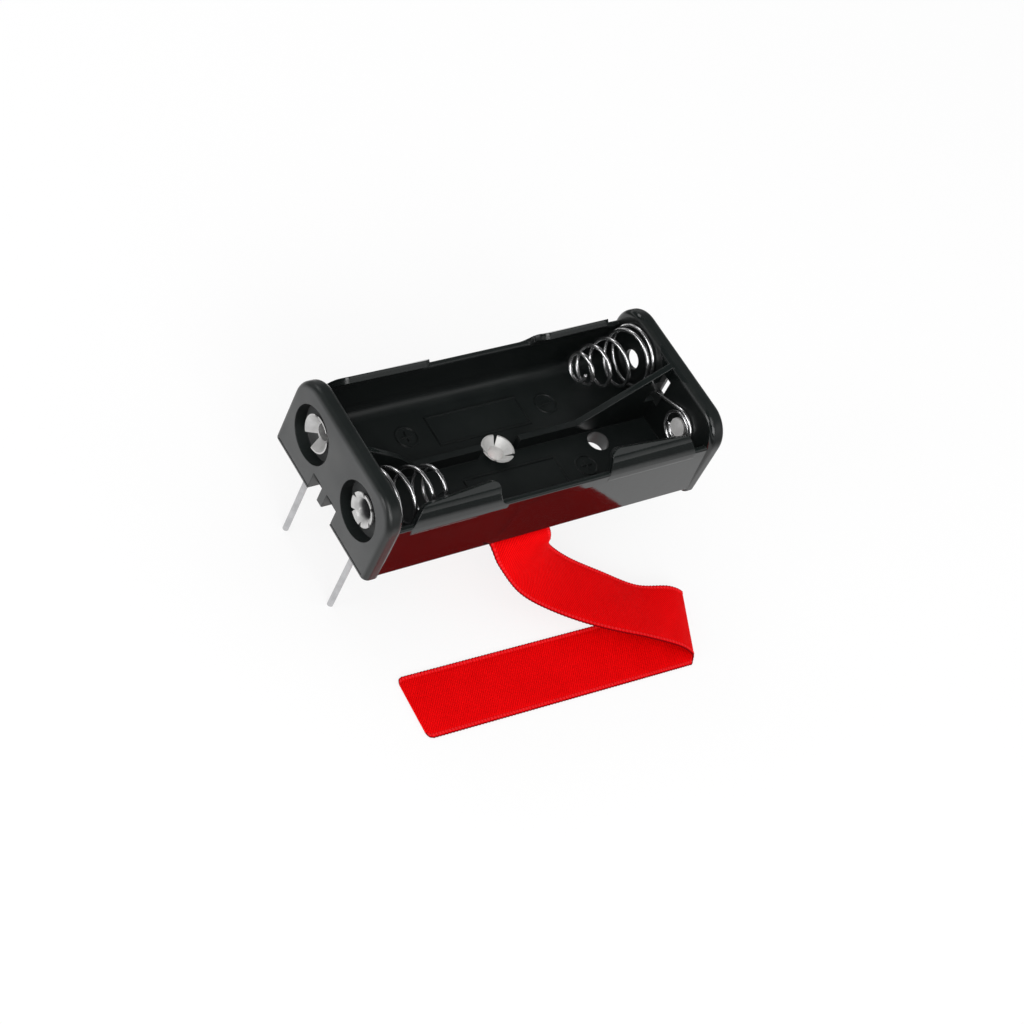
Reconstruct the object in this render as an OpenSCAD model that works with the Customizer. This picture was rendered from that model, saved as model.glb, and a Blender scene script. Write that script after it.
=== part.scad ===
// Two-cell AAA battery holder for a circuit board: moulded tray, coil-spring contacts,
// split eyelets, two long solder leads and a woven ribbon that lifts the cells out.
// X runs along the cells, Y across them and Z up. The origin is the centre of the
// footprint on the board, so z = 0 is the plane the feet of the end plates stand on.

/* [Tray] */
// Length over both end plates
tray_l = 54.5; // [45:0.1:75]
// Width over both side walls at the foot
tray_w = 24.4; // [21:0.1:40]
// Height of the end plates over the board
plate_h = 13.15; // [10:0.05:22]
// Thickness of an end plate
plate_t = 2.5; // [2:0.1:4]
// Radius of the two upper corners of an end plate
plate_corner_r = 4.2; // [2:0.1:8]
// Rounding along the edges of an end plate
plate_edge_r = 0.9; // [0.3:0.05:1]
// Gap between the board and the underside of the floor
stand_h = 0.68; // [0.3:0.01:2]
// Top of the floor the cells lie on
floor_z = 2.35; // [1.5:0.05:5]
// Height of the plain side wall
wall_h = 9.15; // [4:0.05:12]
// Half width of the space between the side walls
bay_half_w = 10.97; // [9:0.01:18]
// Fillet between floor and side wall
bay_fillet_r = 1.8; // [0.5:0.1:4]

/* [Cell] */
// Radius of the cell the bays are made for
cell_r = 5.25; // [4:0.05:9]
// Distance of a cell axis from the middle of the tray
cell_y = 5.75; // [4.5:0.05:10]

/* [Snap lips] */
// Thickness of the curved lips over the cells
lip_t = 0.9; // [0.5:0.05:2]
// Angle of a lip's top edge over the cell axis
lip_angle = 48; // [20:1:70]
// Fall of that edge from the middle to the end plate
lip_drop = 0.9; // [0:0.05:2]
// End of the steep lip nearest the middle
steep_lip_x = 8.2; // [3:0.1:20]
// End of the ramped lip nearest the middle
ramp_lip_x = 9.5; // [3:0.1:20]
// Gap between a lip and the end plate beside it
lip_gap = 1.8; // [0.5:0.1:5]
// Slant of the lip end beside the end plate
lip_slant = 1.6; // [0:0.1:3]
// Corner radius of the upper lip corners
lip_corner_r = 1.3; // [0.5:0.1:2.5]
// Radius of the hollow at the foot of the ramped lip
ramp_r = 1.4; // [0.5:0.1:2]

/* [Divider] */
// Thickness of the wall between the two cells
divider_t = 0.9; // [0.6:0.05:2]
// Height of its low middle
divider_h = 4.45; // [3:0.05:8]
// Foot of its ramp towards the spring of the front bay
left_ramp_x = 14.3; // [8:0.1:22]
// Foot of its ramp towards the spring of the back bay
right_ramp_x = 12.2; // [8:0.1:22]

/* [Contacts] */
// Distance of an eyelet from the middle of the tray
eyelet_y = 6.2; // [4:0.05:12]
// Height of an eyelet over the board
eyelet_z = 7.05; // [4:0.05:12]
// Radius of the round recess in the outer face
recess_r = 4; // [2.5:0.1:5]
// Depth of that recess
recess_d = 1.8; // [0.5:0.05:1.9]
// Radius of the eyelet holes
eyelet_hole_r = 1.4; // [0.8:0.05:2.5]
// Outer radius of an eyelet tube
tube_r = 1.35; // [0.7:0.05:2.4]
// Wall of an eyelet tube
tube_t = 0.2; // [0.1:0.05:0.5]
// Diameter of the spring wire
wire_d = 0.55; // [0.3:0.05:1]
// Radius of the base coil of the front spring
front_base_r = 4.3; // [2.5:0.05:5]
// Radius of the front spring at its free end
front_tip_r = 3; // [1:0.05:4]
// Reach of the front spring from the end plate
front_reach = 8.75; // [5:0.05:14]
// Radius of the base coil of the back spring
back_base_r = 4.75; // [2.5:0.05:5]
// Radius of the back spring at its free end
back_tip_r = 2.4; // [1:0.05:4]
// Reach of the back spring from the end plate
back_reach = 12.15; // [5:0.05:14]

/* [Leads] */
// Diameter of a solder lead
lead_d = 0.85; // [0.5:0.05:1.5]
// Reach of a lead below the board plane
lead_reach = 14; // [3:0.5:20]
// Distance of a lead from the middle of the tray
lead_y = 6.4; // [4:0.05:12]

/* [Screw holes] */
// Radius of the two screw holes in the floor
screw_r = 1.6; // [0.8:0.05:2.5]
// Distance of a screw hole from the middle along the tray
screw_x = 15.5; // [8:0.1:22]
// Distance of a screw hole from the divider
screw_y = 2.3; // [2:0.05:6]
// Radius of the standoff boss round a screw hole
boss_r = 2.8; // [2:0.1:4]

/* [Ribbon] */
// Width of the lift ribbon
ribbon_w = 9.6; // [8:0.1:14]
// Thickness of the ribbon
ribbon_t = 0.34; // [0.2:0.02:0.38]

/* [Output] */
// Part to draw

/* [Hidden] */
eps = 0.02;
end_x = tray_l / 2;
face_x = end_x - plate_t;
half_w = tray_w / 2;
cell_z = floor_z + cell_r;
lip_in_r = cell_r + 0.05;
lip_out_r = lip_in_r + lip_t;
web_x = end_x - recess_d;
wire_r = wire_d / 2;
lead_r = lead_d / 2;
tube_in_r = tube_r - tube_t;
hole_fn = 48;
wire_sides = 8;
wall_r = 0.44;
wall_step = 0.03;
lip_side_angle = 45;
lip_foot_angle = -3;
lip_root_angle = 3;
corner_steps = 10;
groove = 0.15;
rivet_at = [-0.55, -0.2];
rivet_gap = [-3.5, 2.6];
window_y = [-1.3, 0.95];
window_z = [5.7, 10.7];
wire_pass_x = 1.85;
wire_pass_z = [6.1, 8.3];
ramp_shoulder = [[7.45, 6.9], [4.95, 8.5]];
pocket_y = [-3, 3.15];
pocket_z = 3.1;
pocket_d = 1.6;
tongue_y = [-0.4, 0.8];
tongue_z = 0.41;
mark_h = 0.15;
mark_t = 0.25;
frame_size = [15, 4.9];
frame_y = 2.9;
sign_at = [11.4, 5.5];
sign_r = 1.7;
sign_bar = 1.6;
seat = 0.01;
tube_floor = 0.3;
button_h = 0.9;
cap_rise = 0.3;
flange_r = 2.1;
flange_t = 0.3;
trumpet_r = 1.2;
petal_turn = 60;
petal_notch = [1.75, 50];
back_cone = [1.25, 1.15];
back_notches = [[28, 22], [158, 76], [307, 46]];
rivet_flange = [2.3, 0.22];
rivet_cone = [1, 0.95];
rivet_notches = [[68, 26], [172, 22], [230, 22], [318, 24]];
ribbon_gap = 0.06;
lead_x = -face_x + lead_r + seat;
lead_clear = 0.1;
link_x = face_x - wire_r - seat;
web_t = plate_t - recess_d;
front_stack = web_t + lead_d + wire_d + 3 * seat;
back_stack = web_t + lead_d + 2 * seat;
link_stack = web_t + wire_d + 2 * seat;

// ---------- wires ----------

function unit(v) = v / norm(v);
function tangent(p, i) = unit(p[min(i + 1, len(p) - 1)] - p[max(i - 1, 0)]);
function ring(p, i, r, ref) =
    let (t = tangent(p, i), u = unit(cross(ref, t)), v = cross(t, u))
    [for (k = [0:wire_sides - 1])
        p[i] + r * (cos(k * 360 / wire_sides) * u + sin(k * 360 / wire_sides) * v)];

// Round wire along a path of points that never runs parallel to ref.
module wire(path, r, ref = [1, 0, 0]) {
    n = len(path);
    points = [for (i = [0:n - 1]) each ring(path, i, r, ref)];
    side = [for (i = [0:n - 2], k = [0:wire_sides - 1])
        let (a = i * wire_sides + k, b = i * wire_sides + (k + 1) % wire_sides)
        each [[a, b + wire_sides, b], [a, a + wire_sides, b + wire_sides]]];
    first_cap = [[for (k = [0:wire_sides - 1]) k]];
    last_cap = [[for (k = [wire_sides - 1:-1:0]) (n - 1) * wire_sides + k]];
    polyhedron(points = points, faces = concat(side, first_cap, last_cap), convexity = 6);
}

// Turns about an axis parallel to X. Each station is [angle, x, y, z, radius].
function coil_at(s, a) =
    let (i = max([for (k = [0:len(s) - 2]) if (s[k][0] <= a) k]),
         f = (a - s[i][0]) / (s[i + 1][0] - s[i][0]),
         c = s[i] + f * (s[i + 1] - s[i]))
    [c[1], c[2] + c[4] * cos(a), c[3] + c[4] * sin(a)];
function coil(s, step = 18) =
    [for (a = [s[0][0]:step:s[len(s) - 1][0] - eps]) coil_at(s, a)];

// ---------- tray ----------

module plate_outline(inset) {
    edge_y = half_w - inset;
    corner_y = half_w - plate_corner_r;
    corner_z = plate_h - plate_corner_r;
    translate([-edge_y, 0])
        square([2 * edge_y, corner_z]);
    translate([-corner_y, corner_z - 1])
        square([2 * corner_y, plate_corner_r - inset + 1]);
    for (s = [-1, 1])
        translate([s * corner_y, corner_z])
            circle(plate_corner_r - inset, $fn = 96);
}

// Rounded rim of an end plate, at one face.
module plate_rim() {
    corner_y = half_w - plate_corner_r;
    corner_z = plate_h - plate_corner_r;
    path_r = plate_corner_r - plate_edge_r;
    translate([-corner_y, plate_h - plate_edge_r, 0])
        rotate([0, 90, 0])
            cylinder(r = plate_edge_r, h = 2 * corner_y, $fn = hole_fn);
    for (s = [-1, 1]) {
        translate([s * (half_w - plate_edge_r), 0, 0])
            rotate([-90, 0, 0])
                cylinder(r = plate_edge_r, h = corner_z, $fn = hole_fn);
        translate([s * corner_y, corner_z, 0])
            rotate([0, 0, s > 0 ? 0 : 90])
                rotate_extrude(angle = 90, $fn = 96)
                    translate([path_r, 0])
                        circle(plate_edge_r, $fn = hole_fn);
    }
}

// End plate seen along its own thickness, outer face at z = 0.
module plate_slab() {
    linear_extrude(plate_t)
        plate_outline(plate_edge_r);
    translate([0, 0, plate_edge_r])
        linear_extrude(plate_t - 2 * plate_edge_r)
            plate_outline(0);
    translate([0, 0, plate_edge_r])
        plate_rim();
    translate([0, 0, plate_t - plate_edge_r])
        plate_rim();
}

// Places an end plate drawing: s = -1 is the lead end, 1 the link end.
module at_end(s) {
    translate([s * end_x, 0, 0])
        rotate([90, 0, s * 90])
            mirror([0, 0, 1])
                children();
}

// Outline across the tray, below the lips: leaning walls with rounded tops.
module trough_outline() {
    foot_y = cell_y + lip_out_r - wall_step;
    shoulder_y = bay_half_w + 2 * wall_r;
    shoulder_z = wall_h - wall_r;
    difference() {
        polygon([[-half_w, stand_h], [half_w, stand_h], [foot_y, cell_z],
                 [shoulder_y, shoulder_z], [-shoulder_y, shoulder_z], [-foot_y, cell_z]]);
        bay_outline();
    }
    for (s = [-1, 1])
        translate([s * (bay_half_w + wall_r), shoulder_z])
            intersection() {
                circle(wall_r, $fn = hole_fn);
                translate([-wall_r, 0])
                    square([2 * wall_r, wall_r]);
            }
}

module bay_outline() {
    y = bay_half_w - bay_fillet_r;
    translate([-y, floor_z])
        square([2 * y, plate_h]);
    translate([-bay_half_w, floor_z + bay_fillet_r])
        square([2 * bay_half_w, plate_h]);
    for (s = [-1, 1])
        translate([s * y, floor_z + bay_fillet_r])
            circle(bay_fillet_r, $fn = hole_fn);
}

// Extrudes a drawing of the Y-Z plane along X.
module along_x(x0, x1) {
    translate([x0, 0, 0])
        rotate([90, 0, 90])
            linear_extrude(x1 - x0)
                children();
}

// Extrudes a drawing of the X-Z plane along Y.
module along_y(y0, y1) {
    translate([0, y1, 0])
        rotate([90, 0, 0])
            linear_extrude(y1 - y0)
                children();
}

// Part of the ring round a cell that makes the lips, at and above the cell axis.
module lip_section() {
    translate([cell_y, cell_z])
        intersection() {
            difference() {
                circle(lip_out_r, $fn = 120);
                circle(lip_in_r, $fn = 120);
            }
            polygon([[0, 0], [2 * cell_r * cos(lip_root_angle), 2 * cell_r * sin(lip_root_angle)],
                     [2 * cell_r * cos(lip_angle), 2 * cell_r * sin(lip_angle)]]);
        }
}

// Convex outline through corner points, each corner rounded with its own radius.
function corner(p, before, after, r) =
    let (u = unit(before - p), v = unit(after - p), half = acos(u * v) / 2,
         centre = p + unit(u + v) * r / sin(half),
         start = unit(p + u * r / tan(half) - centre), end = unit(p + v * r / tan(half) - centre))
    r > 0 ? [for (k = [0:corner_steps])
        centre + r * unit(start * (corner_steps - k) + end * k)] : [p];
module rounded(points, radii) {
    n = len(points);
    polygon([for (i = [0:n - 1])
        each corner(points[i], points[(i + n - 1) % n], points[(i + 1) % n], radii[i])]);
}

// Height of a point at angle a on the outside of a lip, measured along the lip.
function lip_level(a) = lip_out_r * sin(a - lip_side_angle);
wall_level = lip_level(asin((wall_h - 0.2 - cell_z) / lip_out_r));

// Side view of a lip from x0 near the middle to x1 beside an end plate.
module lip_side(x0, x1) {
    foot = lip_level(lip_foot_angle);
    top = lip_level(lip_angle) + 0.02;
    rounded([[x0, foot], [x0 + 0.25, top], [x1 - lip_slant, top - lip_drop],
             [x1, wall_level], [x1, foot]],
            [0, lip_corner_r, lip_corner_r, 0, 0]);
}

// Hollow between the ramped end of a lip and the top of the wall.
module ramp_foot(x) {
    foot = lip_level(lip_foot_angle);
    difference() {
        translate([x - ramp_r, foot])
            square([ramp_r + 0.1, wall_level + ramp_r - foot]);
        translate([x - ramp_r, wall_level + ramp_r])
            circle(ramp_r, $fn = hole_fn);
    }
}

// Extrudes a side view of a lip along the radius at which lips are seen full face.
module along_radius() {
    translate([0, cell_y, cell_z])
        rotate([90 + lip_side_angle, 0, 0])
            translate([0, 0, -2 * lip_out_r])
                linear_extrude(2 * lip_out_r)
                    children();
}

// The two lips of the back wall; the front wall carries the same pair turned end for end.
module wall_lips() {
    far_x = face_x - lip_gap;
    intersection() {
        along_x(-far_x, far_x)
            lip_section();
        along_radius() {
            mirror([1, 0])
                lip_side(steep_lip_x, far_x);
            lip_side(ramp_lip_x, far_x);
            ramp_foot(ramp_lip_x);
        }
    }
}

module divider() {
    along_y(-divider_t / 2, divider_t / 2)
        polygon([[-face_x - 0.5, floor_z - 0.5], [rivet_gap[0], floor_z - 0.5],
                 [rivet_gap[0], divider_h], [-left_ramp_x, divider_h],
                 [ramp_shoulder[0][0] - face_x, ramp_shoulder[0][1]],
                 [ramp_shoulder[1][0] - face_x, ramp_shoulder[1][1]], [-face_x - 0.5, 11.7]]);
    along_y(-divider_t / 2, divider_t / 2)
        polygon([[rivet_gap[1], floor_z - 0.5], [face_x + 0.3, floor_z - 0.5],
                 [face_x + 0.3, plate_h - 0.3], [face_x, plate_h - 0.3],
                 [right_ramp_x, divider_h], [rivet_gap[1], divider_h]]);
}

// Raised marks on the floor of one bay: a frame and two circled polarity signs.
module floor_marks() {
    translate([-frame_size[0] / 2, frame_y, floor_z - eps])
        linear_extrude(mark_h + eps)
            difference() {
                square(frame_size);
                translate([mark_t, mark_t])
                    square(frame_size - 2 * [mark_t, mark_t]);
            }
    for (s = [-1, 1])
        translate([s * sign_at[0], sign_at[1], floor_z - eps]) {
            difference() {
                cylinder(r = sign_r, h = mark_h + eps, $fn = hole_fn);
                translate([0, 0, -eps])
                    cylinder(r = sign_r - mark_t, h = mark_h + 3 * eps, $fn = hole_fn);
            }
            translate([-sign_bar / 2, -mark_t / 2, 0])
                cube([sign_bar, mark_t, mark_h + eps]);
            if (s < 0)
                translate([-mark_t / 2, -sign_bar / 2, 0])
                    cube([mark_t, sign_bar, mark_h + eps]);
        }
}

// Round recess and eyelet hole, both cut from outside in an end plate.
module contact_cut(s, y) {
    translate([s * end_x, y, eyelet_z])
        rotate([0, -90 * s, 0]) {
            translate([0, 0, -1])
                cylinder(r = recess_r, h = recess_d + 1, $fn = 96);
            cylinder(r = eyelet_hole_r, h = plate_t + 1, $fn = hole_fn);
        }
}

// Foot pocket in the outer face, with its middle tongue left standing.
module foot_pocket(s) {
    x0 = s > 0 ? end_x - pocket_d : -end_x - 1;
    for (span = [[pocket_y[0], tongue_y[0]], [tongue_y[1], pocket_y[1]]])
        translate([x0, span[0], -1])
            cube([pocket_d + 1, span[1] - span[0], pocket_z + 1]);
    translate([s > 0 ? face_x - 1 : -end_x - 1, pocket_y[0], -1])
        cube([plate_t + 2, pocket_y[1] - pocket_y[0], tongue_z + 1]);
}

// Fine groove just over the foot of an outer plate face.
module foot_groove(s) {
    translate([s > 0 ? end_x - groove : -end_x - 1, plate_edge_r - half_w, 2 * groove])
        cube([groove + 1, 2 * (half_w - plate_edge_r), groove]);
}

module tray() {
    color("#1c2021")
        difference() {
            union() {
                for (s = [-1, 1])
                    at_end(s)
                        plate_slab();
                along_x(-end_x + plate_edge_r, end_x - plate_edge_r)
                    trough_outline();
                wall_lips();
                rotate([0, 0, 180])
                    wall_lips();
                divider();
                floor_marks();
                rotate([0, 0, 180])
                    floor_marks();
                for (s = [-1, 1])
                    translate([s * screw_x, -s * screw_y, 0])
                        cylinder(r = boss_r, h = floor_z - mark_h, $fn = hole_fn);
            }
            for (s = [-1, 1], y = [-eyelet_y, eyelet_y])
                contact_cut(s, y);
            for (s = [-1, 1]) {
                foot_pocket(s);
                foot_groove(s);
            }
            for (s = [-1, 1])
                translate([s * screw_x, -s * screw_y, -1])
                    cylinder(r = screw_r, h = floor_z + 2, $fn = hole_fn);
            translate([rivet_at[0], rivet_at[1], 0])
                cylinder(r = eyelet_hole_r, h = floor_z + 1, $fn = hole_fn);
            translate([face_x, window_y[0], window_z[0]])
                cube([plate_t + 1, window_y[1] - window_y[0], window_z[1] - window_z[0]]);
            translate([face_x - wire_pass_x, -divider_t, wire_pass_z[0]])
                cube([wire_pass_x + eps, 2 * divider_t, wire_pass_z[1] - wire_pass_z[0]]);
            for (s = [-1, 1])
                translate([lead_x, s * lead_y, 0])
                    cylinder(r = lead_r + lead_clear, h = floor_z + 1, $fn = hole_fn);
        }
}

// ---------- eyelets ----------

// Tube from z0 to z1 on a flange, blind over a floor; its rim profile is the child.
module rim_tube(z0, z1, flange, floor_t) {
    difference() {
        union() {
            if (flange[0] > tube_r)
                translate([0, 0, z0])
                    cylinder(r = flange[0], h = flange[1], $fn = hole_fn);
            translate([0, 0, z0])
                cylinder(r = tube_r, h = z1 - z0, $fn = hole_fn);
        }
        translate([0, 0, z0 + floor_t])
            cylinder(r = tube_in_r, h = z1 - z0 - floor_t + 1, $fn = hole_fn);
    }
    translate([0, 0, z1])
        rotate_extrude($fn = 72)
            children();
}

// Rim that curls out a quarter turn.
module trumpet() {
    intersection() {
        translate([tube_in_r + trumpet_r, 0])
            difference() {
                circle(trumpet_r, $fn = hole_fn);
                circle(trumpet_r - tube_t, $fn = hole_fn);
            }
        translate([tube_in_r, 0])
            square([trumpet_r, trumpet_r]);
    }
}

// Rim that opens as a straight cone by size[0] over a height of size[1].
module cone(size) {
    polygon([[tube_in_r, 0], [tube_r, 0], [tube_r + size[0], size[1]],
             [tube_in_r + size[0], size[1]]]);
}

// Wedge that splits a rim: apex at radius r, opening outwards by the given spread.
module notch(angle, r, spread, z) {
    reach = 2 * tube_r;
    rotate([0, 0, angle])
        translate([0, 0, z + 0.05])
            linear_extrude(2)
                polygon([[r, 0], [r + reach, -reach * tan(spread / 2)],
                         [r + reach, reach * tan(spread / 2)]]);
}

// Places an eyelet drawing in an end plate, rim outwards on the web of the recess.
module in_plate(s, y) {
    translate([s * web_x, y, eyelet_z])
        rotate([0, 90 * s, 0])
            children();
}

// Eyelet whose curled rim has six petals; z = 0 is the web it stands on.
module six_petal_eyelet(depth, flange) {
    difference() {
        rim_tube(-depth, 0, flange, tube_floor)
            trumpet();
        for (k = [0:5])
            notch(petal_turn * k + 20, petal_notch[0], petal_notch[1], 0);
    }
}

module front_eyelet() {
    color("#c9cbcc")
        in_plate(-1, -eyelet_y)
            six_petal_eyelet(front_stack + flange_t, [flange_r, flange_t]);
}

// The contact eyelet of the back bay: broad uneven petals outside, a button inside.
module back_eyelet() {
    color("#c9cbcc")
        in_plate(-1, eyelet_y) {
            difference() {
                rim_tube(-back_stack - button_h, 0, [tube_r, button_h], tube_floor)
                    cone(back_cone);
                for (n = back_notches)
                    notch(n[0], tube_in_r - 0.25, n[1], 0);
            }
            translate([0, 0, -back_stack - button_h])
                difference() {
                    cylinder(r1 = 1.9, r2 = 2.3, h = button_h, $fn = hole_fn);
                    translate([0, 0, -1])
                        cylinder(r = tube_r - tube_t / 2, h = button_h + 2, $fn = hole_fn);
                }
        }
}

module button_eyelet() {
    color("#c9cbcc")
        in_plate(1, -eyelet_y)
            six_petal_eyelet(web_t + cap_rise, [tube_r, cap_rise]);
}

// Rivet that holds the ribbon under the floor: four petals cupped over the floor.
module lift_rivet() {
    base_z = stand_h - ribbon_gap - ribbon_t - seat - rivet_flange[1];
    neck_z = floor_z + 0.05;
    color("#c9cbcc")
        translate([rivet_at[0], rivet_at[1], 0])
            difference() {
                rim_tube(base_z, neck_z, rivet_flange, -1)
                    cone(rivet_cone);
                for (n = rivet_notches)
                    notch(n[0], tube_in_r - 0.1, n[1], neck_z);
            }
}

// ---------- springs ----------

// Share of a spring's reach at the top of each coil, from the plate to the free end.
front_rise = [0.051, 0.314, 0.669, 1];
back_rise = [0.152, 0.407, 0.63, 0.835, 1];
front_coil_y = -6;
front_coil_z = 7.5;
front_base_x = -face_x + lead_d + wire_r + 2 * seat;
collar_r = tube_r + wire_r + 0.03;
spiral_r = 2.85;

// Radius of coil k of n on a cone from the base coil to the free end.
function cone_r(k, n, base_r, tip_r) = base_r + (tip_r - base_r) * k / (n - 1);

module front_spring() {
    n = len(front_rise);
    collar = [[-330, front_base_x, -eyelet_y, eyelet_z, collar_r],
              [0, front_base_x, -eyelet_y, eyelet_z, collar_r],
              [200, front_base_x, front_coil_y - 0.1, front_coil_z - 0.2, front_base_r - 0.5],
              [300, front_base_x, front_coil_y, front_coil_z - 0.1, front_base_r - 0.4]];
    coils = [for (k = [0:n - 1])
        [450 + 360 * k, front_reach * front_rise[k] - face_x, front_coil_y, front_coil_z,
         cone_r(k, n, front_base_r, front_tip_r) - 0.3 * (n - 1 - k) / n]];
    over_lead = [for (a = [600, 650])
        [a, front_base_x, front_coil_y, front_coil_z, front_base_r - 0.4]];
    tip = [450 + 360 * n - 60, front_reach + 0.7 - face_x, front_coil_y, front_coil_z,
           front_tip_r - 0.1];
    color("#d6d8d9")
        wire(coil(concat(collar, [coils[0]], over_lead, [for (k = [1:n - 1]) coils[k]], [tip])),
             wire_r);
}

// Back spring, its tail through the divider, and the flat spiral round the button eyelet.
tail_yz = [[1.17, 7.05], [0.75, 6.85], [0.3, 7.12], [-0.1, 7.6], [-0.6, 7.86],
           [-2.2, 8.5], [-3.9, 9.18]];

module link_spring() {
    n = len(back_rise);
    top = face_x - back_reach;
    tip = [-200, top - 0.65, cell_y + 0.05, cell_z, back_tip_r - 0.1];
    coils = [for (k = [0:n - 1])
        [90 + 360 * k, face_x - back_reach * back_rise[n - 1 - k], cell_y + 0.05, cell_z,
         cone_r(n - k, n + 1, back_base_r, back_tip_r)]];
    base = [180 + 360 * n, link_x, cell_y + 0.05, cell_z, back_base_r];
    tail = [for (p = tail_yz) [link_x, p[0], p[1]]];
    spiral = coil([[68, link_x, -eyelet_y, eyelet_z, spiral_r],
                   [500, link_x, -eyelet_y, eyelet_z, spiral_r - 0.7],
                   [640, link_x, -eyelet_y, eyelet_z, collar_r],
                   [700, link_x, -eyelet_y, eyelet_z, collar_r]]);
    color("#d6d8d9")
        wire(concat(coil(concat([tip], coils, [base])), tail, spiral), wire_r);
}

// ---------- leads ----------

lead_loop_r = tube_r + lead_r + 0.03;
lead_bend_r = 0.8;
lead_bend_y = lead_y + lead_bend_r;
lead_bend_z = eyelet_z - sqrt(pow(lead_loop_r + lead_bend_r, 2) - pow(lead_bend_y - eyelet_y, 2));
lead_join_a = atan2(lead_bend_z - eyelet_z, lead_bend_y - eyelet_y);

// Straight round stem, bent over into a loop round the eyelet tube.
module lead() {
    bend_end = 180 + lead_join_a;
    bend = [for (k = [0:4])
        let (a = 180 + (bend_end - 180) * k / 5)
        [lead_x, lead_bend_y + lead_bend_r * cos(a), lead_bend_z + lead_bend_r * sin(a)]];
    loop = [for (a = [lead_join_a:15:lead_join_a + 300])
        [lead_x, eyelet_y + lead_loop_r * cos(a), eyelet_z + lead_loop_r * sin(a)]];
    color("#b9bcbe") {
        translate([lead_x, lead_y, -lead_reach])
            cylinder(r = lead_r, h = lead_reach, $fn = hole_fn);
        wire(concat([[lead_x, lead_y, -1]], bend, loop), lead_r - seat);
    }
}

module front_lead() {
    mirror([0, 1, 0])
        lead();
}

module back_lead() {
    lead();
}

// ---------- ribbon ----------

// Each station is [near edge, far edge] of the ribbon's middle surface: it leaves the
// rivet under the floor, drops over the front edge, swings round and folds on the ground.
ribbon_z = stand_h - ribbon_gap - ribbon_t / 2;
ground_z = -lead_reach + ribbon_t / 2 + 0.03;
fall_y = -half_w;
ribbon_start = [[-4.5, 5.4, ribbon_z], [5.1, 3.7, ribbon_z]];
ribbon_fall = [
    [[-7.6, fall_y + 2, ribbon_z], [2, fall_y + 0.55, ribbon_z]],
    [[-7.7, fall_y - 0.42, -0.1], [1.6, fall_y - 0.36, -0.05]],
    [[-6.6, fall_y - 2.2, -2.2], [2, fall_y - 0.1, -1.9]],
    [[-2.8, fall_y - 4.6, -6.2], [4.6, fall_y + 0.9, -5.4]],
    [[2.2, fall_y - 7.6, -8.8], [8.7, fall_y - 0.4, -8.3]],
    [[8, fall_y - 11.2, -9.8], [13.4, fall_y - 2.8, -10.1]],
    [[14.4, fall_y - 14.5, -10.4], [18.6, fall_y - 5.6, -11.7]],
    [[19.1, fall_y - 16.6, -11.6], [23.1, fall_y - 7.3, -11.5]],
    [[21.2, fall_y - 17.6, -12.9], [25.1, fall_y - 8.2, -12.1]],
    [[21.5, fall_y - 17.9, -13.4], [25.5, fall_y - 8.3, -12.9]],
    [[20.9, fall_y - 18.75, ground_z], [24.7, fall_y - 9.3, ground_z]]];
lay_at = [-21.2, -29.2];
lay_slope = -0.042;
function lay_y(x) = lay_at[1] + lay_slope * (x - lay_at[0]);
function lay_station(x, inset) =
    [[x, lay_y(x) + inset, ground_z], [x + 0.4, lay_y(x) + ribbon_w - inset, ground_z]];
ribbon_lay = [for (x = [12, 0, -12, lay_at[0] + 1]) lay_station(x, 0)];
ribbon_tip = [for (e = [[0.35, 0.22], [0, 0.9]]) lay_station(lay_at[0] + e[0], e[1])];

// Smooth curve through the stations.
function blend(a, b, c, d, t) =
    b + 0.5 * t * (c - a + t * (2 * a - 5 * b + 4 * c - d + t * (3 * (b - c) + d - a)));
function smooth(s, n) = concat(
    [for (i = [0:len(s) - 2], k = [0:n - 1])
        [for (e = [0, 1])
            blend(s[max(i - 1, 0)][e], s[i][e], s[i + 1][e],
                  s[min(i + 2, len(s) - 1)][e], k / n)]],
    [s[len(s) - 1]]);

module strip(s, t) {
    n = len(s);
    function normal(i) =
        let (a = s[max(i - 1, 0)], b = s[min(i + 1, n - 1)])
        unit(cross(b[0] + b[1] - a[0] - a[1], s[i][1] - s[i][0]));
    points = [for (i = [0:n - 1])
        let (h = normal(i) * t / 2)
        each [s[i][0] - h, s[i][1] - h, s[i][1] + h, s[i][0] + h]];
    side = [for (i = [0:n - 2], k = [0:3])
        let (a = 4 * i + k, b = 4 * i + (k + 1) % 4)
        each [[a, b + 4, b], [a, a + 4, b + 4]]];
    faces = concat(side, [[0, 1, 2, 3]],
                   [[4 * n - 1, 4 * n - 2, 4 * n - 3, 4 * n - 4]]);
    polyhedron(points = points, faces = faces, convexity = 8);
}

module ribbon() {
    color("#d8141a")
        difference() {
            strip(concat([ribbon_start], smooth(ribbon_fall, 4), ribbon_lay, ribbon_tip), ribbon_t);
            translate([rivet_at[0], rivet_at[1], -1])
                cylinder(r = eyelet_hole_r, h = 3, $fn = hole_fn);
        }
}

tray();
front_spring();
link_spring();
front_eyelet();
back_eyelet();
button_eyelet();
lift_rivet();
front_lead();
back_lead();
ribbon();
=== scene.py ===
import math

import bpy
from mathutils import Matrix, Vector


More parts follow.
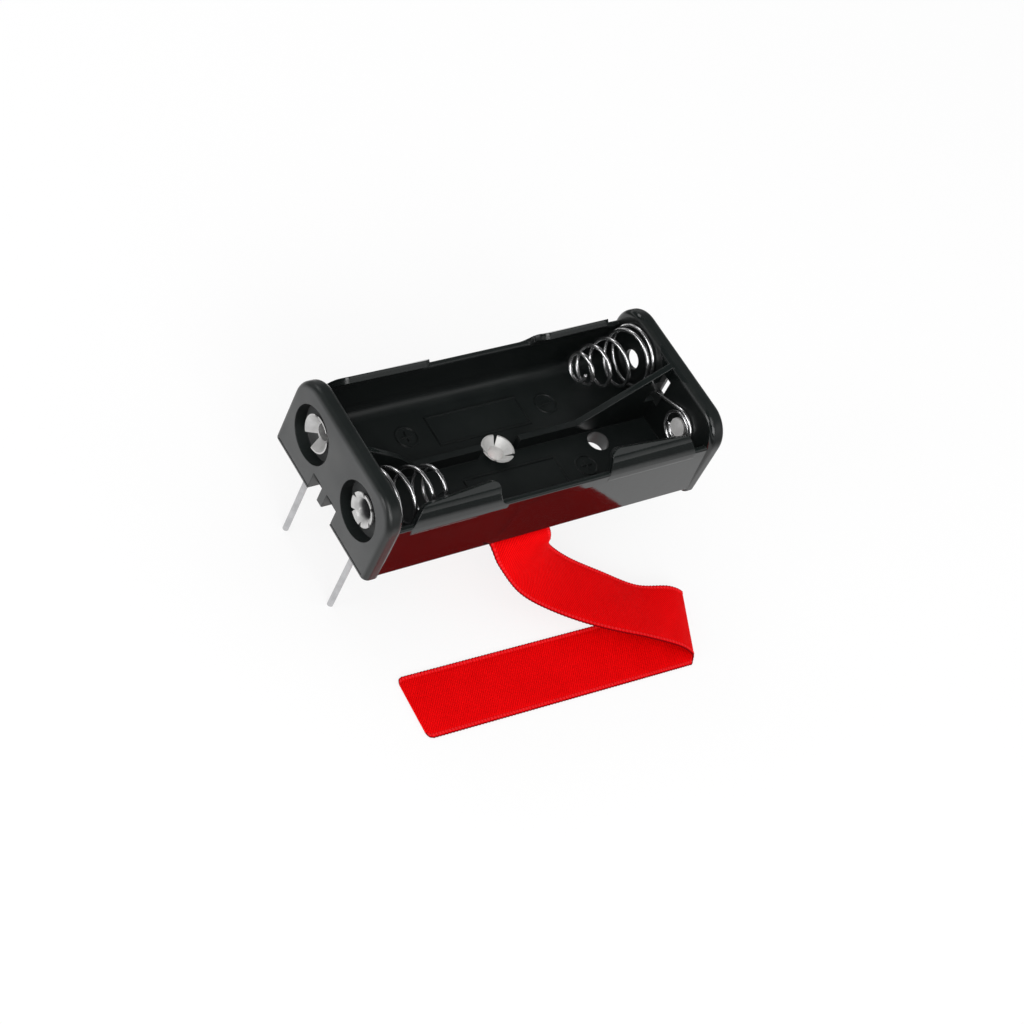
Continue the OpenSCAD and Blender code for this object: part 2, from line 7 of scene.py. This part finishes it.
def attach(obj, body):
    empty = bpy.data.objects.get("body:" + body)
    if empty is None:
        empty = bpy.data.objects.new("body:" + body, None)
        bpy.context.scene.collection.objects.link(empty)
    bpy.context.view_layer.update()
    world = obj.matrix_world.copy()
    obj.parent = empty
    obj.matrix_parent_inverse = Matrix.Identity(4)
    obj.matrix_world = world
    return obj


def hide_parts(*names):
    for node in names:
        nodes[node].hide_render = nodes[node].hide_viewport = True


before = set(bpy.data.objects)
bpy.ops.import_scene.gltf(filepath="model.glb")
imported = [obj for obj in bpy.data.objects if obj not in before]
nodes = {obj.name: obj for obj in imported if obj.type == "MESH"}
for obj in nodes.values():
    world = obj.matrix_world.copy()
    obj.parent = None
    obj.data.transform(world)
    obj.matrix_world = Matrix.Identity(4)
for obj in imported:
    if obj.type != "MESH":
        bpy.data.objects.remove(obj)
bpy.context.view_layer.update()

scene = bpy.context.scene

# ---------------------------------------------------------------- sizes in millimetres

MM = 0.001

FACE_X = 24.75  # inner face of an end plate
EYE_Y, EYE_Z = 6.2, 7.05  # an eyelet, from the middle of the tray and over the board
CELL_Y, CELL_Z = 5.75, 7.6  # the axis of a cell
LEAD_D = 0.85  # a solder lead
SEAT = 0.01  # left between pieces that lie on each other
WIRE_R = 0.27  # radius of the spring wire
WIRE_SEAT = 0.275 + SEAT  # from a face to the middle of the wire on it
BASE_X = WIRE_SEAT + LEAD_D + SEAT - FACE_X  # base of the front spring, which has a lead behind it
LINK_X = FACE_X - WIRE_SEAT  # base and spiral of the link spring
COLLAR_R = 1.655  # turn of a wire round the tube of an eyelet
RIVET_AT = (-0.55, -0.2)
RIBBON_W = 9.6
RIBBON_HOLE_R = 1.4
STITCH = 0.5  # pitch of the stitches along the ribbon's edges

# ---------------------------------------------------------------- camera


def set_camera():
    data = bpy.data.cameras.new("camera")
    data.lens = 82.72
    data.sensor_width = 36.0
    data.clip_start = 0.01
    data.clip_end = 20.0
    camera = bpy.data.objects.new("camera", data)
    scene.collection.objects.link(camera)
    right = Vector((0.80141506, -0.49258369, 0.33925685))
    up = Vector((0.21912734, 0.76958767, 0.59976498))
    back = Vector((-0.55652234, -0.40632023, 0.7246977))
    pose = Matrix((right, up, back)).transposed().to_4x4()
    pose.translation = Vector((-173.53, -133.61, 223.79)) * MM
    camera.matrix_world = pose
    scene.camera = camera


set_camera()
scene.view_settings.view_transform = "Standard"

# ---------------------------------------------------------------- shader helpers


def feed(tree, value, socket):
    """Link an output to a socket, or set a plain value there."""
    if isinstance(value, bpy.types.NodeSocket):
        tree.links.new(value, socket)
    else:
        socket.default_value = value


def node(tree, kind, **settings):
    made = tree.nodes.new(kind)
    for key, value in settings.items():
        setattr(made, key, value)
    return made


def put(tree, made, **values):
    """Feed a node's inputs by name, with _ for a space."""
    for key, value in values.items():
        feed(tree, value, made.inputs[key.replace("_", " ")])
    return made


def math_node(tree, operation, *terms):
    made = node(tree, "ShaderNodeMath", operation=operation)
    for socket, value in zip(made.inputs, terms):
        feed(tree, value, socket)
    return made.outputs[0]


def plus(tree, a, b):
    return math_node(tree, "ADD", a, b)


def minus(tree, a, b):
    return math_node(tree, "SUBTRACT", a, b)


def times(tree, a, b):
    return math_node(tree, "MULTIPLY", a, b)


def times_plus(tree, a, b, c):
    return math_node(tree, "MULTIPLY_ADD", a, b, c)


def absolute(tree, value):
    return math_node(tree, "ABSOLUTE", value)


def wave(tree, length, pitch):
    """Sine along a length, from -1 to 1."""
    return math_node(tree, "SINE", times(tree, length, 2 * math.pi / pitch))


def vector_math(tree, operation, *terms):
    made = node(tree, "ShaderNodeVectorMath", operation=operation)
    for socket, value in zip(made.inputs, terms):
        feed(tree, value, socket)
    return made


def split(tree, vector):
    """The parts of a vector as three outputs."""
    return put(tree, node(tree, "ShaderNodeSeparateXYZ"), Vector=vector).outputs


def map_range(tree, value, low, high, to_low, to_high):
    made = node(tree, "ShaderNodeMapRange", clamp=True)
    put(tree, made, Value=value, From_Min=low, From_Max=high, To_Min=to_low, To_Max=to_high)
    return made.outputs["Result"]


def past(tree, length, low, high):
    """0 under the first number of millimetres, 1 over the second."""
    return map_range(tree, length, low * MM, high * MM, 0.0, 1.0)


def noise(tree, vector, scale, detail):
    made = node(tree, "ShaderNodeTexNoise")
    put(tree, made, Vector=vector, Scale=scale, Detail=detail, Roughness=0.55)
    return made.outputs["Fac"]


def ramp(tree, fac, stops):
    """Colour from a value; stops are pairs of a place and a colour of three numbers."""
    made = node(tree, "ShaderNodeValToRGB")
    bar = made.color_ramp
    while len(bar.elements) < len(stops):
        bar.elements.new(0.5)
    for element, (place, colour) in zip(bar.elements, stops):
        element.position = place
        element.color = (*colour, 1.0)
    tree.links.new(fac, made.inputs["Fac"])
    return made.outputs["Color"]


def mix_colour(tree, factor, a, b, blend="MIX"):
    made = node(tree, "ShaderNodeMix", data_type="RGBA", blend_type=blend)
    for index, value in ((0, factor), (6, a), (7, b)):
        feed(tree, value, made.inputs[index])
    return made.outputs[2]


def mix_shader(tree, factor, a, b):
    made = node(tree, "ShaderNodeMixShader")
    for socket, value in zip(made.inputs, (factor, a.outputs[0], b.outputs[0])):
        tree.links.new(value, socket)
    return made


def bump(tree, height, strength, distance, normal=None):
    """Bump of a distance in millimetres, laid over another normal if there is one."""
    made = node(tree, "ShaderNodeBump")
    put(tree, made, Height=height, Strength=strength, Distance=distance * MM)
    if normal is not None:
        tree.links.new(normal, made.inputs["Normal"])
    return made.outputs["Normal"]


def position(tree):
    return node(tree, "ShaderNodeNewGeometry").outputs["Position"]


# ---------------------------------------------------------------- materials


def material(name):
    """A new material with its nodes and its Principled shader."""
    mat = bpy.data.materials.new(name)
    mat.use_nodes = True
    tree = mat.node_tree
    shader = next(n for n in tree.nodes if n.type == "BSDF_PRINCIPLED")
    return mat, tree, shader


def tray_material():
    """Black moulding: dull end plates with painted light on their faces across X, polished outer
    walls and lips, darker inside with painted shade on the walls.
    """
    mat, tree, shader = material("tray_plastic")
    where = node(tree, "ShaderNodeNewGeometry")
    place = where.outputs["Position"]
    x, y, z = split(tree, place)
    normal_x, _, normal_z = split(tree, where.outputs["Normal"])
    along = absolute(tree, x)
    across = absolute(tree, y)

    # the outside of the end plates, of the long walls, and of the lips over the cells
    end = past(tree, along, 25.1, 25.4)
    side = past(tree, across, 11.50, 11.65)
    dy = minus(tree, across, CELL_Y * MM)
    dz = minus(tree, z, CELL_Z * MM)
    reach = math_node(tree, "SQRT", times_plus(tree, dy, dy, times(tree, dz, dz)))
    lip = times(tree, past(tree, reach, 5.8, 6.0), past(tree, dz, 0.0, 0.5))
    polished = times(tree, math_node(tree, "MAXIMUM", side, lip), minus(tree, 1.0, end))
    square = map_range(tree, absolute(tree, normal_x), 0.80, 0.99, 0.0, 1.0)
    dull = times(tree, end, square)

    cloud = noise(tree, place, 260.0, 4.0)
    glossy_black = ramp(tree, cloud, [(0.3, (0.0058, 0.0078, 0.0076)),
                                      (0.7, (0.0084, 0.0108, 0.0104))])
    # the end plates' faces across X: a matte grey for their rough finish, raised with painted
    # light from the left
    painted_lit_grey = ramp(tree, noise(tree, place, 130.0, 2.0), [(0.35, (0.040, 0.042, 0.043)),
                                                            (0.65, (0.066, 0.068, 0.068))])
    black = mix_colour(tree, dull, glossy_black, painted_lit_grey)
    # painted light: glossy faces are painted palest where they face up and darker on the walls,
    # dull ones a little paler down in the recess webs than on the outer face
    painted_top_light = map_range(tree, normal_z, 0.2, 0.95, 0.55, 1.25)
    painted_recess_light = map_range(tree, along, 26.0 * MM, 26.4 * MM, 0.9, 0.84)
    level = plus(tree, times(tree, dull, painted_recess_light), times(tree, minus(tree, 1.0, dull), painted_top_light))
    shade = put(tree, vector_math(tree, "SCALE", black), Scale=level)
    put(tree, shader, Base_Color=shade.outputs[0])

    rough = times_plus(tree, dull, 0.16, times_plus(tree, cloud, 0.10, 0.30))
    rough = times_plus(tree, polished, -0.29, rough)
    put(tree, shader, Roughness=math_node(tree, "MAXIMUM", rough, 0.06), IOR=1.5)

    edge = put(tree, node(tree, "ShaderNodeBevel", samples=6), Radius=0.18 * MM)
    grained = minus(tree, 1.0, times(tree, polished, 0.8))
    grain = times(tree, noise(tree, place, 9000.0, 2.0), grained)
    fine = bump(tree, grain, 0.16, 0.02, edge.outputs["Normal"])
    put(tree, shader, Normal=bump(tree, noise(tree, place, 420.0, 3.0), 0.07, 0.15, fine))
    return mat


def in_bore(tree, place, flatten, centre, radius):
    """1 within a radius of an axis; flatten is 0 along the axis and 1 across it."""
    offset = vector_math(tree, "SUBTRACT", place, tuple(c * MM for c in centre))
    flat = vector_math(tree, "MULTIPLY", offset.outputs[0], flatten)
    reach = vector_math(tree, "LENGTH", flat.outputs[0])
    soft = 0.12
    return minus(tree, 1.0, past(tree, reach.outputs["Value"], radius - soft, radius + soft))


def steel_material(name, colour, rough, streak, metal=1.0, bores=()):
    """Bright metal with fine streaks; the colour within each bore is multiplied by its tint:
    painted shade in the end eyelets' bores, a cream tone in the rivet's.
    """
    mat, tree, shader = material(name)
    place = position(tree)
    cloud = noise(tree, place, 700.0, 4.0)
    lines = noise(tree, place, streak, 2.0)
    darker = tuple(c * 0.80 for c in colour)
    tone = ramp(tree, cloud, [(0.30, darker), (0.65, colour)])
    for flatten, centre, radius, tint in bores:
        inside = in_bore(tree, place, flatten, centre, radius)
        tone = mix_colour(tree, inside, tone, (*tint, 1.0), "MULTIPLY")
    put(tree, shader, Base_Color=tone, Metallic=metal,
        Roughness=times_plus(tree, lines, 0.16, rough), Normal=bump(tree, lines, 0.18, 0.03))
    return mat


def ribbon_material():
    """Red twill; its UV map is in millimetres across and along the ribbon."""
    mat, tree, shader = material("ribbon_twill")
    uv = node(tree, "ShaderNodeUVMap", uv_map="weave")
    across, along, _ = split(tree, uv.outputs["UV"])

    # diagonal ribs crossed by the finer lines of warp and weft
    ribs = wave(tree, times_plus(tree, across, 0.8, along), 0.36)
    weave = times_plus(tree, wave(tree, across, 0.24), 0.35, ribs)
    weave = times_plus(tree, wave(tree, along, 0.25), 0.25, weave)
    soft = noise(tree, position(tree), 240.0, 4.0)
    fuzz = noise(tree, position(tree), 5200.0, 2.0)
    tone = times_plus(tree, weave, 0.20, 0.46)
    for cloud, share in ((soft, 0.25), (fuzz, 0.22)):
        tone = times_plus(tree, cloud, share, minus(tree, tone, share / 2))
    cloth = ramp(tree, tone, [(0.15, (0.52, 0.0004, 0.0006)),
                              (0.50, (0.76, 0.0010, 0.0018)),
                              (0.85, (0.92, 0.0040, 0.0060))])

    # the woven edge: a row of paler stitches, and near black along the outermost edge
    inward = minus(tree, RIBBON_W / 2, absolute(tree, minus(tree, across, RIBBON_W / 2)))
    row = times(tree, map_range(tree, inward, 0.16, 0.28, 0.0, 1.0),
                map_range(tree, inward, 0.50, 0.66, 1.0, 0.0))
    stitches = times(tree, row, times_plus(tree, wave(tree, along, STITCH), 0.35, 0.45))
    outermost = map_range(tree, inward, 0.06, 0.18, 1.0, 0.0)
    cloth = mix_colour(tree, times(tree, stitches, 0.55), cloth, (0.98, 0.045, 0.055, 1.0))
    cloth = mix_colour(tree, times(tree, outermost, 0.9), cloth, (0.10, 0.0, 0.002, 1.0))

    height = times_plus(tree, fuzz, 0.6, weave)
    put(tree, shader, Base_Color=cloth, Roughness=times_plus(tree, fuzz, 0.2, 0.52),
        Normal=bump(tree, height, 0.55, 0.03), Specular_IOR_Level=0.02,
        Sheen_Weight=0.03, Sheen_Roughness=0.4, Sheen_Tint=(1.0, 0.05, 0.05, 1.0))
    return mat


ALONG_X, ALONG_Z = (0, 1, 1), (1, 1, 0)
spring_steel = steel_material("spring_wire", (0.92, 0.92, 0.93), 0.16, 1800.0)
eyelet_steel = steel_material("eyelet_plate", (0.85, 0.84, 0.83), 0.45, 2600.0, 0.35)
# the dark tints are painted shade in the hollow bores of the end eyelets
end_steel = steel_material("end_eyelet", (0.60, 0.595, 0.59), 0.38, 2600.0, 0.7,
                           [(ALONG_X, (0, -EYE_Y, EYE_Z), 1.30, (0.22, 0.22, 0.23)),
                            (ALONG_X, (0, EYE_Y, EYE_Z), 0.95, (0.35, 0.35, 0.35))])
rivet_steel = steel_material("rivet_plate", (0.78, 0.775, 0.76), 0.42, 2600.0, 0.55,
                             [(ALONG_Z, (*RIVET_AT, 0), 1.0, (0.80, 0.74, 0.62))])
lead_steel = steel_material("tinned_wire", (0.50, 0.50, 0.51), 0.38, 900.0)
twill = ribbon_material()

DRESS = {"tray": tray_material(), "front_eyelet": end_steel, "back_eyelet": end_steel,
         "button_eyelet": eyelet_steel, "lift_rivet": rivet_steel,
         "front_lead": lead_steel, "back_lead": lead_steel}
for name, mat in DRESS.items():
    mesh = nodes[name].data
    mesh.materials.clear()
    mesh.materials.append(mat)
    for face in mesh.polygons:
        face.material_index = 0

# ---------------------------------------------------------------- curves and meshes


def mesh_piece(name, verts, faces, mat, smooth=True):
    """A new object from points in millimetres."""
    data = bpy.data.meshes.new(name)
    data.from_pydata([tuple(v * MM) for v in verts], [], faces)
    data.materials.append(mat)
    for face in data.polygons:
        face.use_smooth = smooth
    obj = bpy.data.objects.new(name, data)
    scene.collection.objects.link(obj)
    return obj


def between(a, b, c, d, t):
    """Catmull-Rom curve from b to c."""
    return b + 0.5 * t * (c - a + t * (2 * a - 5 * b + 4 * c - d + t * (3 * (b - c) + d - a)))


def neighbours(items, i):
    """The items before, at and after i and the one after that, kept within the list."""
    n = len(items)
    return items[max(i - 1, 0)], items[i], items[i + 1], items[min(i + 2, n - 1)]


def smooth_path(points, step=0.12):
    """Curve through points, sampled about every step millimetres."""
    out = []
    for i in range(len(points) - 1):
        around = neighbours(points, i)
        count = max(1, int((around[2] - around[1]).length / step))
        out += [between(*around, k / count) for k in range(count)]
    out.append(points[-1])
    return out


def coil_points(stations, step=6.0, reach=5):
    """Turns about an axis parallel to X; each station is angle, x, y, z, radius.

    The angle grows by step degrees, and each place and radius is the mean over reach
    steps to either side, so that the coil has no corner at a station."""
    rows = []
    angle = stations[0][0]
    while angle < stations[-1][0] - 0.01:
        k = max(i for i in range(len(stations) - 1) if stations[i][0] <= angle)
        a, b = stations[k], stations[k + 1]
        f = (angle - a[0]) / (b[0] - a[0])
        rows.append([p + f * (q - p) for p, q in zip(a, b)])
        angle += step
    points = []
    for i, row in enumerate(rows):
        r = min(reach, i, len(rows) - 1 - i)
        near = rows[i - r:i + r + 1]
        x, y, z, radius = (sum(n[c] for n in near) / len(near) for c in (1, 2, 3, 4))
        turn = math.radians(row[0])
        points.append(Vector((x, y + radius * math.cos(turn), z + radius * math.sin(turn))))
    return points


def ring_faces(rings, sides):
    """Quads between rings of vertices, and a cap at each end."""
    faces = []
    for i in range(rings - 1):
        for k in range(sides):
            a, b = i * sides + k, i * sides + (k + 1) % sides
            faces.append((a, b, b + sides, a + sides))
    faces.append(tuple(reversed(range(sides))))
    faces.append(tuple(range((rings - 1) * sides, rings * sides)))
    return faces


def wire(name, path, radius, mat, sides=14):
    """Round wire with softly cut ends, carried along the path without twisting."""
    n = len(path)
    tangents = [(path[min(i + 1, n - 1)] - path[max(i - 1, 0)]).normalized() for i in range(n)]
    side = tangents[0].orthogonal().normalized()
    rings = []
    for point, tangent in zip(path, tangents):
        side = (side - tangent * side.dot(tangent)).normalized()
        rings.append((point, side, tangent.cross(side), radius))
    cut = 0.18 * radius
    for end, inner, inward in ((0, 1, cut), (-1, -2, -cut)):
        point, u, v, _ = rings[end]
        rings[inner] = (point + tangents[end] * inward, u, v, radius)
        rings[end] = (point, u, v, radius - cut)
    verts = []
    for point, u, v, r in rings:
        for k in range(sides):
            a = 2 * math.pi * k / sides
            verts.append(point + r * (math.cos(a) * u + math.sin(a) * v))
    return mesh_piece(name, verts, ring_faces(n, sides), mat)


# ---------------------------------------------------------------- springs


def front_path():
    """Collar round the eyelet, base turn against the plate, then the tapering coil."""
    y, z = -6.0, 7.5
    return coil_points([
        (-330, BASE_X, -EYE_Y, EYE_Z, COLLAR_R), (0, BASE_X, -EYE_Y, EYE_Z, COLLAR_R),
        (120, BASE_X, y, 7.2, 2.7), (220, BASE_X, y, 7.4, 3.6), (300, BASE_X, y, z, 3.9),
        (450, -24.3, y, z, 4.6), (560, BASE_X, y, z, 4.5), (650, BASE_X + 0.1, y, z, 4.45),
        (810, -21.7, y, z, 3.85), (1170, -18.55, y, z, 3.35), (1530, -16.15, y, z, 3.0),
        (1830, -15.4, y, z, 2.9)])


def link_path():
    """Coil from its free end to the plate, tail through the divider, spiral round the button."""
    y = CELL_Y + 0.05
    coil = coil_points([
        (-200, 14.35, y, 8.55, 1.75), (-20, 14.5, y, 8.5, 1.9), (90, 14.7, y, 8.5, 2.25),
        (450, 17.2, y, 8.4, 2.85), (810, 19.95, y, 8.3, 3.35), (1170, 23.35, y + 0.2, 8.1, 4.0),
        (1350, 24.2, y + 0.3, 8.05, 4.2), (1620, LINK_X, y + 0.3, 8.0, 4.3)])
    tail = [Vector((LINK_X, y, z)) for y, z in
            ((1.17, 7.05), (0.75, 6.85), (0.3, 7.12), (-0.1, 7.6), (-0.6, 7.86), (-2.2, 8.5),
             (-3.9, 9.18))]
    button = (LINK_X, -EYE_Y, EYE_Z)
    spiral = coil_points([(68, *button, 2.85), (500, *button, 2.15), (640, *button, COLLAR_R),
                          (700, *button, COLLAR_R)])
    bridge = smooth_path([coil[-1], *tail, spiral[0]])
    return coil + bridge[2:-1] + spiral


front_coil = wire("front_coil", front_path(), WIRE_R, spring_steel)
link_coil = wire("link_coil", link_path(), WIRE_R, spring_steel)
for piece, cad in ((front_coil, "front_spring"), (link_coil, "link_spring")):
    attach(piece, "root")
    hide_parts(cad)

# ---------------------------------------------------------------- ribbon

ROW_GAP = 0.09  # between rows of points along the ribbon
HALF_T = 0.13  # half the thickness of the field
CORD_W = 0.68  # width of the rounded cord along each edge
CORNER_R = 0.9  # at the cut end
UNDER_Z = 0.45  # middle of the ribbon under the floor
GROUND_Z = -13.8  # and on the ground that the leads reach

# pairs of points on the two edges: flat under the floor, over the edge, down to the ground
# and round in a half turn, then back along the tray
START = ((-4.5, 5.4, UNDER_Z), (5.1, 3.7, UNDER_Z))
FALL_Y = -12.2  # the front edge of the tray
FALL = [tuple((x, y + FALL_Y, z) for x, y, z in pair) for pair in (
    ((-7.6, 2, UNDER_Z), (2, 0.55, UNDER_Z)),
    ((-7.7, -0.42, -0.1), (2, -0.36, -0.05)),
    ((-6.6, -2.3, -2.2), (2.9, -0.15, -1.9)),
    ((-3, -4.8, -6.2), (4.9, 0.8, -5.4)),
    ((2.2, -7.6, -8.8), (8.7, -0.4, -8.3)),
    ((8, -11.2, -9.8), (13.4, -2.8, -10.1)),
    ((14.4, -14.5, -10.4), (18.6, -5.6, -11.7)),
    ((19.1, -16.6, -11.6), (23.1, -7.3, -11.5)),
    ((21.2, -17.6, -12.9), (25.1, -8.2, -12.1)),
    ((21.5, -17.9, -13.4), (25.5, -8.3, -12.9)),
    ((20.9, -18.75, GROUND_Z), (24.7, -9.3, GROUND_Z)))]
LAY_FROM_X = 12
LAY_TO_X, LAY_TO_Y = -21.9, -29.17
LAY_SLOPE = -0.042


def lay_pair(x):
    """The two edges where the ribbon lies straight on the ground."""
    y = LAY_TO_Y + LAY_SLOPE * (x - LAY_TO_X)
    return (x, y, GROUND_Z), (x + 0.4, y + RIBBON_W, GROUND_Z)


def straight(pair, goal):
    """Rows from one pair towards another, without the last one."""
    ends = [Vector(p) for p in (*pair, *goal)]
    count = max(2, int((ends[2] - ends[0]).length / ROW_GAP))
    return [(ends[0].lerp(ends[2], k / count), ends[1].lerp(ends[3], k / count))
            for k in range(count)]


def curved(pairs):
    """Rows on a smooth curve through pairs, without the last one."""
    rows = []
    edges = [[Vector(pair[e]) for pair in pairs] for e in (0, 1)]
    for i in range(len(pairs) - 1):
        around = [neighbours(edge, i) for edge in edges]
        length = sum((b - a for _, a, b, _ in around), Vector()).length / 2
        count = max(4, int(length / ROW_GAP))
        rows += [tuple(between(*edge, k / count) for edge in around) for k in range(count)]
    return rows


def ribbon_rows():
    """Pairs of edge points of the middle surface, from the rivet to the cut end."""
    lay_from, lay_to = lay_pair(LAY_FROM_X), lay_pair(LAY_TO_X)
    rows = straight(START, FALL[0]) + curved(FALL)
    rows += straight(FALL[-1], lay_from) + straight(lay_from, lay_to)
    rows.append(tuple(Vector(p) for p in lay_to))
    return rows


def face_height(edge, knot):
    """Half the thickness at a distance from the edge: the knotted cord, then the field."""
    if edge >= CORD_W:
        return HALF_T
    arch = math.sqrt(max(0.0, 1 - ((edge - CORD_W / 2) / 0.345) ** 2))
    height = HALF_T * (0.35 + 0.65 * arch) + 0.03 * arch * (1 + 0.55 * knot)
    return height * 0.5 if edge < 0.05 else height


def corner_inset(left):
    """How far the rounded corner draws the edge in, at a length from the cut end."""
    if left >= CORNER_R:
        return 0.0
    return CORNER_R - math.sqrt(max(0.0, CORNER_R ** 2 - (CORNER_R - left) ** 2))


def build_ribbon():
    """The ribbon as a closed mesh, and its length."""
    rows = ribbon_rows()
    n = len(rows)
    centres = [(a + b) / 2 for a, b in rows]
    run = [0.0]
    for before, after in zip(centres, centres[1:]):
        run.append(run[-1] + (after - before).length)
    # shares of the width, close together over the cords
    lanes = [0.0, 0.004, 0.012, 0.025, 0.04, 0.055, 0.068, 0.08, 0.12, 0.2, 0.35, 0.5]
    lanes += [1 - v for v in reversed(lanes[:-1])]
    section = [(s, 1) for s in lanes] + [(s, -1) for s in reversed(lanes)]
    verts, uvs = [], []
    for i, (a, b) in enumerate(rows):
        travel = (centres[min(i + 2, n - 1)] - centres[max(i - 2, 0)]).normalized()
        across = b - a
        normal = travel.cross(across).normalized()
        squeeze = 1 - 2 * corner_inset(run[-1] - run[i]) / RIBBON_W
        knot = math.sin(2 * math.pi * run[i] / STITCH)
        for s, face in section:
            edge = min(s, 1 - s) * RIBBON_W
            out = 0.5 + (s - 0.5) * squeeze
            if edge < 0.3:
                out -= 0.03 * knot * (1 if s < 0.5 else -1) / RIBBON_W
            verts.append(a + across * out + normal * (face * face_height(edge, knot)))
            uvs.append((s * RIBBON_W, run[i]))
    faces = [tuple(reversed(face)) for face in ring_faces(n, len(section))]
    obj = mesh_piece("lift_ribbon", verts, faces, twill)
    layer = obj.data.uv_layers.new(name="weave")
    for loop in obj.data.loops:
        layer.data[loop.index].uv = uvs[loop.vertex_index]
    return obj, run[-1]


def punch(obj, at, radius):
    """Round hole through a piece, parallel to Z."""
    sides = 40
    turns = [2 * math.pi * k / sides for k in range(sides)]
    verts = [Vector((at[0] + radius * math.cos(a), at[1] + radius * math.sin(a), z))
             for z in (-2, 2) for a in turns]
    tool = mesh_piece("punch", verts, ring_faces(2, sides), twill, smooth=False)
    cut = obj.modifiers.new("hole", "BOOLEAN")
    cut.operation = "DIFFERENCE"
    cut.solver = "EXACT"
    cut.object = tool
    shaped = obj.evaluated_get(bpy.context.evaluated_depsgraph_get())
    done = bpy.data.meshes.new_from_object(shaped)
    obj.modifiers.clear()
    obj.data = done
    bpy.data.objects.remove(tool)


ribbon, ribbon_length = build_ribbon()
punch(ribbon, RIVET_AT, RIBBON_HOLE_R)
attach(ribbon, "root")
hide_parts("ribbon")

# ---------------------------------------------------------------- floor, world and lamps

FLOOR_Z = -14.05 * MM
FLOOR_HALF = 3.0
WHITE = (1.0, 1.0, 1.0, 1.0)


def ray_is(tree, kind):
    return node(tree, "ShaderNodeLightPath").outputs[f"Is {kind} Ray"]


def studio_floor():
    """Pale paper that keeps shadows and glows evenly white to the camera; mirrored in the object
    it glows as a painted reflection that fades with distance.
    """
    half = FLOOR_HALF
    corners = [(x, y, FLOOR_Z) for x, y in ((-half, -half), (half, -half), (half, half),
                                            (-half, half))]
    data = bpy.data.meshes.new("floor")
    data.from_pydata(corners, [], [(0, 1, 2, 3)])
    obj = bpy.data.objects.new("floor", data)
    scene.collection.objects.link(obj)
    mat = bpy.data.materials.new("floor")
    mat.use_nodes = True
    tree = mat.node_tree
    tree.nodes.clear()
    paper = put(tree, node(tree, "ShaderNodeBsdfDiffuse"), Color=(0.88, 0.88, 0.88, 1.0))
    away = vector_math(tree, "LENGTH", position(tree))
    # painted reflection: the glow seen in mirrored rays, brightest near the object
    fade = map_range(tree, away.outputs["Value"], 60 * MM, 105 * MM, 1.12, 0.12)
    mirrored = ray_is(tree, "Glossy")
    level = times_plus(tree, mirrored, minus(tree, fade, 1.0), 1.0)
    glow = put(tree, node(tree, "ShaderNodeEmission"), Color=WHITE, Strength=level)
    seen = math_node(tree, "MAXIMUM", ray_is(tree, "Camera"), mirrored)
    share = times_plus(tree, mirrored, 0.15, times(tree, seen, 0.80))
    out = node(tree, "ShaderNodeOutputMaterial")
    put(tree, out, Surface=mix_shader(tree, share, paper, glow).outputs[0])
    data.materials.append(mat)


def studio_world():
    """Even soft light; in mirrored rays a dim room, plain white behind the object."""
    world = bpy.data.worlds.new("world")
    scene.world = world
    world.use_nodes = True
    tree = world.node_tree
    tree.nodes.clear()
    direction = node(tree, "ShaderNodeTexCoord").outputs["Generated"]
    height = split(tree, direction)["Z"]
    greys = ((0.0, 0.90), (0.09, 0.60), (0.20, 0.10), (1.0, 0.03))
    tone = ramp(tree, height, [(place, (level, level, level)) for place, level in greys])

    def background(colour, strength):
        return put(tree, node(tree, "ShaderNodeBackground"), Color=colour, Strength=strength)

    lit = mix_shader(tree, ray_is(tree, "Glossy"), background(WHITE, 0.70), background(tone, 1.0))
    whole = mix_shader(tree, ray_is(tree, "Camera"), lit, background(WHITE, 1.0))
    put(tree, node(tree, "ShaderNodeOutputWorld"), Surface=whole.outputs[0])


def softbox(name, at, size, power):
    """Rectangular lamp that faces the object."""
    data = bpy.data.lights.new(name, "AREA")
    data.shape = "RECTANGLE"
    data.size, data.size_y = size
    data.energy = power
    lamp = bpy.data.objects.new(name, data)
    lamp.location = at
    lamp.rotation_euler = (-Vector(at)).to_track_quat("-Z", "Y").to_euler()
    scene.collection.objects.link(lamp)


studio_floor()
studio_world()
softbox("key", (-0.30, -0.34, 0.62), (0.42, 0.42), 1.2)
softbox("front", (-0.26, -0.66, 0.40), (0.50, 0.34), 2.3)
softbox("side", (-0.62, 0.05, 0.20), (0.30, 0.30), 1.0)
softbox("rim", (-0.10, 0.60, 0.45), (0.40, 0.20), 0.6)
softbox("low", (0.46, -0.56, 0.38), (0.50, 0.40), 0.45)
